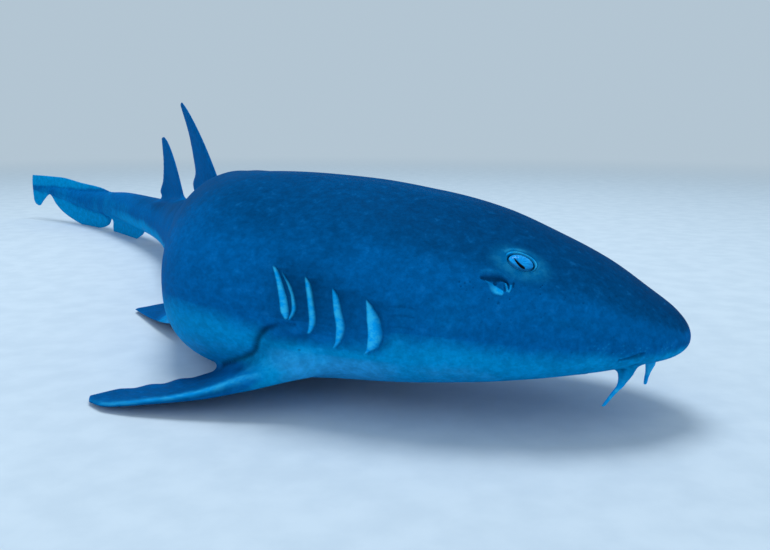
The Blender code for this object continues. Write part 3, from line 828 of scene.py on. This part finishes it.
def fin_tones(parts, mesh, points, place):
    """Where the fins are: their share of the skin, span, chord, tone, feeler and pale front ridge, which is
    a painted highlight where the pectoral's front edge faces up.
    """
    s, _, z = place.T
    up = normals_of(mesh)[:, 2]
    _, face, gap = nearest(tree_of(parts[2:]), points, FIN_REACH)
    kinds, charts = of_faces(parts[2:], face)
    _, tail_face, _ = nearest(tree_of(parts[1:2]), points, 0.6)
    _, back, belly = girth_near(s)
    beyond = np.maximum(z / back, -z / belly) - 1
    on_tail = np.where(tail_face >= 0, smooth(0.0, 0.5, beyond) * smooth(80, 83, s), 0)
    charts = np.where((on_tail > 0)[:, None], parts[1][3][np.maximum(tail_face, 0)], charts)
    span, chord = charts.T
    near = np.where(face >= 0, 1 - smooth(0.15, 1.2, gap), 0)
    feeler = near * (kinds == BARBEL)
    paired = (kinds == PECTORAL) | (kinds == PELVIC)
    fin = np.maximum(near * (kinds != BARBEL) * np.where(paired, smooth(0.15, 0.5, span), 1), on_tail)
    tone = np.where(paired, 0.45 - 1.0 * smooth(0.0, 0.5, up), -0.15)
    tone = np.where((on_tail > 0) | (s > 70), 0.7, tone)
    outer = near * (kinds == PECTORAL) * smooth(0.15, 0.45, span)
    tone -= 0.7 * outer * bump(0, 0.04, chord)
    # Painted highlight along the pectoral's front edge, where it faces up.
    front = outer * bump(0.1, 0.05, chord) * smooth(-0.35, 0.2, up)
    flutter = near * (kinds == PECTORAL) * smooth(0.45, 1.0, chord) * smooth(0.45, 0.6, span)
    flutter *= 1 - smooth(0.8, 0.97, span)
    fields = np.stack([fin, span, chord, tone, feeler, front, flutter], 1)
    fields = eased(fields, edges_of(mesh), np.where((near > 0) | (on_tail > 0), 0.5, 0), 8)
    return dict(zip(("fin", "span", "chord", "tone", "feeler", "front", "flutter"), fields.T))


def body_tone(place):
    """The hide's tone, from -1.6 on the crown over -1 along the back to 1, palest, under the belly:
    countershading, deepened by painted shade on the crown and back and by painted light from the floor on
    the low flank, with painted shade over the gills.
    """
    s, y, z = place.T
    _, back, belly = girth_near(s)
    height = np.where(z > 0, z / back, z / belly)
    under = smooth(0.18, -0.58, height) * (0.68 + 0.32 * smooth(5, 11, s))
    tone = np.where(height > 0, -0.85 * smooth(0.25, 1.0, height), under)
    tone -= smooth(0.4, 0.85, height) * (0.38 * (1 - smooth(10, 16, s)) + 0.15 * (1 - smooth(6, 10, s)))
    tone -= 0.12 * (1 - smooth(0, 4.5, s)) * smooth(-0.7, -0.3, height)
    tone -= 0.15 * stretch(s, 2.8, 3.6, 7.0, 8.2) * bump(0.45, 0.35, z)
    tone = tone * (1 - 0.9 * smooth(60, 80, s)) + 0.15 * smooth(60, 80, s)
    # Painted shade over the gill region between the slits.
    painted_gill_shade = stretch(s, 11.9, 12.8, 16.6, 17.6)
    painted_gill_shade *= smooth(-1.5, -1.0, z) * (1 - smooth(1.2, 2.4, z - 0.25 * (s - 13)))
    wobble = 0.6 * np.sin(z * 0.9 + s * 0.35) + 0.4 * np.sin(y * 0.7)
    saddles = 0.5 + 0.5 * np.cos((s - SADDLE_AT + 0.5 * wobble) * 2 * math.pi / SADDLE_SPACING)
    saddles = smooth(0.3, 0.85, saddles) * stretch(s, 10, 13.5, 42, 58) * smooth(-0.5, 0.5, height)
    return np.clip(tone - 0.35 * painted_gill_shade - 0.18 * saddles, -1.6, 1)


def whole_skin(parts):
    """The finished skin: its mesh, each point's place on the straight body, and its named tones."""
    mesh = bare_skin(parts)
    refine_head(mesh, tree_of(parts[2:]))
    points = points_of(mesh)
    place = straighten(points)
    s, y, z = place.T
    outer = np.abs(y) > 0.55 * girth_near(s)[0]
    formed = [(gill_forms, place, outer & (s > 10.5) & (s < 18) & (z > -2) & (z < 3)),
              (mouth_forms, place, (s > 1) & (s < 8) & (z < 0)),
              (axil_forms, place, (s > 14) & (s < 20.2) & (z > -3.4) & (z < 1)),
              (pore_forms, place, outer & (s > 0.5) & (s < 16.5))]
    for form, at_place, half in ((eye_forms, EYE_PLACE, (1.9, 1.5, 1.4)),
                                 (spiracle_forms, SPIRACLE_PLACE, (1.3, 1.0, 1.0)),
                                 (nostril_forms, NOSTRIL_PLACE, (0.9, 0.6, 0.8))):
        for side in SIDES.values():
            local = patch(points, *at_place, side)
            formed.append((form, local, within(local, *half)))
    lift = flank_forms(place)
    pale, dark = np.zeros((2, len(s)))
    for form, local, near in formed:
        risen, paler, darker = form(local[near])
        lift[near] += risen
        pale[near] = np.maximum(pale[near], paler)
        dark[near] = np.maximum(dark[near], darker)

    fins = fin_tones(parts, mesh, points, place)
    points = points + lift[:, None] * normals_of(mesh)
    points[:, 2] += fins["flutter"] * (0.04 + 0.04 * np.sin(fins["span"] * 52))
    points[:, 2] = np.maximum(points[:, 2], 0)
    set_points(mesh, points)
    fins["tone"] = body_tone(place) * (1 - fins["fin"]) + fins["tone"] * fins["fin"]
    # The pectorals' painted highlight along their front edges.
    pale = np.maximum(pale, 0.72 * fins["front"])
    fins["pale"] = np.maximum(pale, fins["feeler"] * smooth(0.35, 0.65, fins["span"]))
    fins["dark"] = dark
    return mesh, place, fins


# ---- materials ----


def linear(colour):
    """An sRGB hex colour as linear red, green, blue and alpha."""
    channels = [int(colour[i:i + 2], 16) / 255 for i in (1, 3, 5)]
    return (*(c / 12.92 if c <= 0.04045 else ((c + 0.055) / 1.055) ** 2.4 for c in channels), 1)


def add(tree, kind, sockets=None, settings=None):
    """Adds a node with its settings. Each socket takes a value, or another node's output."""
    made = tree.nodes.new("ShaderNode" + kind)
    for name, value in (settings or {}).items():
        setattr(made, name, value)
    for name, value in (sockets or {}).items():
        if isinstance(value, bpy.types.NodeSocket):
            tree.links.new(value, made.inputs[name])
        else:
            made.inputs[name].default_value = value
    return made


MIX_A, MIX_B, MIX_RESULT = 6, 7, 2  # the colour sockets of a Mix node


def blank_material(name):
    made = bpy.data.materials.new(name)
    made.use_nodes = True
    made.node_tree.nodes.clear()
    return made, made.node_tree


def finished(tree, surface):
    add(tree, "OutputMaterial", {"Surface": surface})


def mixed(tree, share, a, b, blend="MIX"):
    settings = {"data_type": "RGBA", "blend_type": blend}
    return add(tree, "Mix", {0: share, MIX_A: a, MIX_B: b}, settings).outputs[MIX_RESULT]


def stored(tree, name, output="Fac"):
    return add(tree, "Attribute", settings={"attribute_name": name}).outputs[output]


def math_of(tree, operation, a, b=0.0):
    return add(tree, "Math", {0: a, 1: b}, {"operation": operation}).outputs[0]


def mapped(tree, value, low, high, to_low=0, to_high=1):
    sockets = {"Value": value, "From Min": low, "From Max": high, "To Min": to_low, "To Max": to_high}
    return add(tree, "MapRange", sockets, {"interpolation_type": "SMOOTHSTEP"}).outputs[0]


def sharkskin():
    """Shark skin: tiny tooth-like scales in a tough hide, matt and deep in colour. Its blues are painted
    light, the blue water light laid over the hide's own brown-grey.
    """
    # These blues are the blue water light painted into the hide, whose own colour is brown-grey.
    speck, painted_shade_and_pores, lining, painted_glint = (linear(shade) for shade in ("#2C94DC", "#000E20", "#08B0FF", "#34C8FF"))
    made, tree = blank_material("sharkskin")
    place = stored(tree, "straight", "Vector")
    cloud, fleck, grain = (
        add(tree, "TexNoise", {"Vector": place, "Scale": 1 / size, "Detail": detail,
                                     "Roughness": rough}).outputs["Fac"]
        for size, detail, rough in ((CLOUD, 4.0, 0.6), (FLECK, 3.0, 0.65), (GRAIN, 2.0, 0.5)))
    tone = math_of(tree, "ADD", stored(tree, "tone"), mapped(tree, cloud, 0.3, 0.7, -0.14, 0.14))
    colour = linear("#0061A2")
    for shade, *tones in (("#0090CD", 0.0, 0.7, 0, 1),  # low on the flank
                          ("#2A9AD8", 0.8, 1.15, 0, 1),  # belly
                          ("#00497C", -0.9, 0.0, 1, 0),  # back
                          ("#003D6B", -1.6, -0.9, 1, 0)):  # crown
        colour = mixed(tree, mapped(tree, tone, *tones), colour, linear(shade))
    flecks = mapped(tree, fleck, 0.32, 0.68, 0.86, 1.12)
    grains = mapped(tree, grain, 0.3, 0.7, 0.93, 1.07)
    shade = math_of(tree, "MULTIPLY", flecks, grains)
    shade = add(tree, "CombineColor", {0: shade, 1: shade, 2: shade}).outputs[0]
    colour = mixed(tree, 1.0, colour, shade, "MULTIPLY")
    colour = mixed(tree, mapped(tree, fleck, 0.6, 0.74, 0, 0.12), colour, speck)
    # The dark marks: painted shade in slits, hollows, grooves, creases and round the eyes, and the real dark
    # pores.
    colour = mixed(tree, stored(tree, "dark"), colour, painted_shade_and_pores)
    # The pale marks: the real pale linings and feeler tips, with painted glints of light in the linings and
    # painted highlights along the pectorals' front ridges.
    wet = mixed(tree, mapped(tree, fleck, 0.4, 0.6), lining, painted_glint)
    colour = mixed(tree, stored(tree, "pale"), colour, wet)

    scales = add(tree, "TexVoronoi", {"Vector": place, "Scale": 1 / SCALE})
    rays = add(tree, "TexWave", {"Vector": stored(tree, "fin_chart", "Vector"), "Distortion": 1.5,
                                 "Scale": 1 / RAY_SPACING / (2 * math.pi), "Detail": 1.0},
               {"bands_direction": "X", "wave_profile": "SIN"})
    rays_on_fins = math_of(tree, "MULTIPLY", rays.outputs["Fac"], stored(tree, "fin"))
    relief = 0.0
    for height, share in ((scales.outputs["Distance"], 0.045), (fleck, 0.12), (rays_on_fins, 0.06)):
        relief = math_of(tree, "ADD", relief, math_of(tree, "MULTIPLY", height, share))
    bumped = add(tree, "Bump", {"Strength": 1.0, "Distance": 0.001, "Height": relief})
    shader = add(tree, "BsdfPrincipled", {
        "Base Color": colour, "Roughness": mapped(tree, fleck, 0.3, 0.7, 0.5, 0.64),
        "IOR": HIDE_IOR, "Normal": bumped.outputs[0]})
    finished(tree, shader.outputs[0])
    return made


def eye_surface():
    """An eyeball under a wet cornea: a silvery iris with fine rays, a black slit pupil and a dark rim,
    painted shade where the lids cover it. Its blues are the blue water light painted in.
    """
    iris, streak, pupil, rim = (linear(shade) for shade in ("#12A8F4", "#0486D2", "#00040A", "#001428"))
    made, tree = blank_material("wet_cornea")
    chart = stored(tree, "iris_chart", "Vector")
    spokes = add(tree, "TexNoise", {"Vector": chart, "Scale": 1.0, "Detail": 3.0})
    colour = mixed(tree, mapped(tree, spokes.outputs["Fac"], 0.35, 0.65), streak, iris)
    colour = mixed(tree, stored(tree, "rim"), colour, rim)
    colour = mixed(tree, stored(tree, "pupil"), colour, pupil)
    shader = add(tree, "BsdfPrincipled", {
        "Base Color": colour, "Roughness": mapped(tree, spokes.outputs["Fac"], 0.3, 0.7, 0.28, 0.42),
        "IOR": EYE_IOR, "Coat Weight": 0.08, "Coat Roughness": 0.05})
    finished(tree, shader.outputs[0])
    return made


def floor_paint():
    """Matt pale studio floor that fades into the backdrop far away."""
    made, tree = blank_material("matt_floor")
    position = add(tree, "NewGeometry").outputs["Position"]
    speckle = add(tree, "TexNoise", {"Vector": position, "Scale": 1 / 0.02, "Detail": 4.0})
    share = mapped(tree, speckle.outputs["Fac"], 0.3, 0.7)
    colour = mixed(tree, share, linear("#CBD6DE"), linear("#D3DDE4"))
    shader = add(tree, "BsdfPrincipled", {"Base Color": colour, "Roughness": 0.8})
    away = add(tree, "VectorMath", {0: position}, {"operation": "LENGTH"}).outputs["Value"]
    glow = add(tree, "Emission", {"Color": linear(BACKDROP), "Strength": BACKDROP_STRENGTH})
    surface = add(tree, "MixShader", {0: mapped(tree, away, *FLOOR_FADE),
                                            1: shader.outputs[0], 2: glow.outputs[0]})
    finished(tree, surface.outputs[0])
    return made


# ---- pieces ----


def store(mesh, name, values):
    """Keeps a value or a place for each point, which a material reads."""
    kind, field = ("FLOAT_VECTOR", "vector") if values.ndim > 1 else ("FLOAT", "value")
    mesh.attributes.new(name, kind, "POINT").data.foreach_set(field, values.astype(np.float32).ravel())


def eye_frame(side):
    """The eyeball's middle, and its forward, up and outward directions."""
    rows = patch(np.eye(3), *EYE_PLACE, side) - patch(np.zeros((1, 3)), *EYE_PLACE, side)
    forward, upward, outward = rows.T
    turn = 90 - side * (90 - EYE_PLACE[1])
    return bend(on_skin(EYE_PLACE[0], turn)) - outward * EYE_SUNK, forward, upward, outward


def eyeball(name, side, shift, finish):
    middle, forward, upward, outward = eye_frame(side)
    work = bmesh.new()
    bmesh.ops.create_uvsphere(work, u_segments=256, v_segments=160, radius=1)
    unit = np.array([vert.co for vert in work.verts])
    # The sphere's pole faces outward, so that the fine rings are round the iris.
    u, v, w = unit[:, 0] * EYE_HALF[0], unit[:, 1] * EYE_HALF[2], unit[:, 2] * EYE_HALF[1]
    a, b = turned(u - PUPIL_AT[0], v - PUPIL_AT[1], PUPIL_TURN)
    a /= PUPIL_LENGTH
    b += PUPIL_SAG * (1 - a**2)
    half = (PUPIL_THICKNESS[0] + PUPIL_THICKNESS[1] * a) * np.clip(1 - a**4, 0.05, 1) ** 0.5
    facing = w > 0
    pupil = (1 - smooth(0.8, 1.2, np.abs(b) / half)) * (np.abs(a) < 1) * facing
    w -= 0.02 * pupil
    ring = np.hypot(u / IRIS_HALF[0], v / IRIS_HALF[1])
    # Painted shade under the lids: the rim widens under the lower lid as its painted shadow, though fainter
    # there.
    lower = smooth(0.0, -0.3, v)
    rim = np.where(facing, smooth(0.92 - 0.14 * lower, 1.0 - 0.06 * lower, ring) * (1 - 0.4 * lower), 1)
    points = middle + u[:, None] * forward + v[:, None] * upward + w[:, None] * outward
    for vert, point in zip(work.verts, points * UNIT + shift):
        vert.co = point
    if side < 0:
        bmesh.ops.reverse_faces(work, faces=work.faces)
    mesh = mesh_from(work, name)
    angle = np.arctan2(b, a)
    store(mesh, "pupil", pupil)
    store(mesh, "rim", rim)
    store(mesh, "iris_chart", np.stack([np.cos(angle) * 9, np.sin(angle) * 9, ring * 1.5], 1))
    return dressed(name, mesh, finish)


def shift_to_frame():
    """How far over the floor the solids stand from the spine's origin, found from the right eye."""
    low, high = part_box("eye_right")
    return (np.array((low + high) / 2) - eye_frame(-1)[0] * UNIT) * (1, 1, 0)


def shark(shift):
    mesh, place, tones = whole_skin(solids())
    store(mesh, "straight", place * UNIT)
    store(mesh, "tone", tones["tone"])
    for name in ("pale", "dark", "fin"):
        store(mesh, name, np.clip(tones[name], 0, 1))
    chart = np.stack([tones["chord"], tones["span"], 0 * tones["span"]], 1)
    store(mesh, "fin_chart", chart * FIN_SIZE)
    mesh.transform(Matrix.Translation(Vector(shift)))
    mesh.name = "sharkskin_mesh"
    return dressed("shark_skin", mesh, sharkskin())


def round_floor():
    work = bmesh.new()
    bmesh.ops.create_circle(work, cap_ends=True, segments=96, radius=FLOOR_RADIUS)
    made = dressed("studio_floor", mesh_from(work, "studio_floor"), floor_paint())
    made.location.z = -FLOOR_GAP
    return made


def soft_light(name, size, power, place, target):
    data = bpy.data.lights.new(name, "AREA")
    data.shape = "DISK"
    data.size = size
    data.energy = power
    data.color = linear(LIGHT_COLOUR)[:3]
    made = linked(name, data)
    made.location = place
    made.rotation_euler = (Vector(target) - Vector(place)).to_track_quat("-Z", "Y").to_euler()


def studio_camera(snout):
    data = bpy.data.cameras.new("camera")
    data.lens = CAMERA_LENS
    data.sensor_width = 36
    data.clip_start = 0.01
    made = linked("camera", data)
    made.location = Vector(snout) + Vector(CAMERA_FROM_SNOUT)
    made.rotation_euler = (math.radians(90 - CAMERA_TILT), 0, 0)
    bpy.context.scene.camera = made


def studio_world():
    made = bpy.data.worlds.new("studio")
    made.use_nodes = True
    backdrop = made.node_tree.nodes["Background"].inputs
    backdrop["Color"].default_value = linear(BACKDROP)
    backdrop["Strength"].default_value = BACKDROP_STRENGTH
    bpy.context.scene.world = made
    bpy.context.scene.view_settings.view_transform = "Standard"


FLESH = ["head", "gill_region", "front_trunk", "rear_trunk", "tail_base", "tail_middle", "tail_end",
         "caudal_fin", "first_dorsal_fin", "second_dorsal_fin", "anal_fin"]
FLESH += [f"{name}_{side}" for name in ("pectoral_fin", "pelvic_fin", "barbel") for side in SIDES]

shift = shift_to_frame()
skin = shark(shift)
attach(skin, "root")
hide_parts(*FLESH)
cornea = eye_surface()
for eye_name, eye_side in SIDES.items():
    eye = eyeball(f"eyeball_{eye_name}", eye_side, shift, cornea)
    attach(eye, "root")
    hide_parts(f"eye_{eye_name}")

round_floor()
for light_name, settings in LIGHTS.items():
    soft_light(light_name, *settings)
studio_camera(shift)
studio_world()
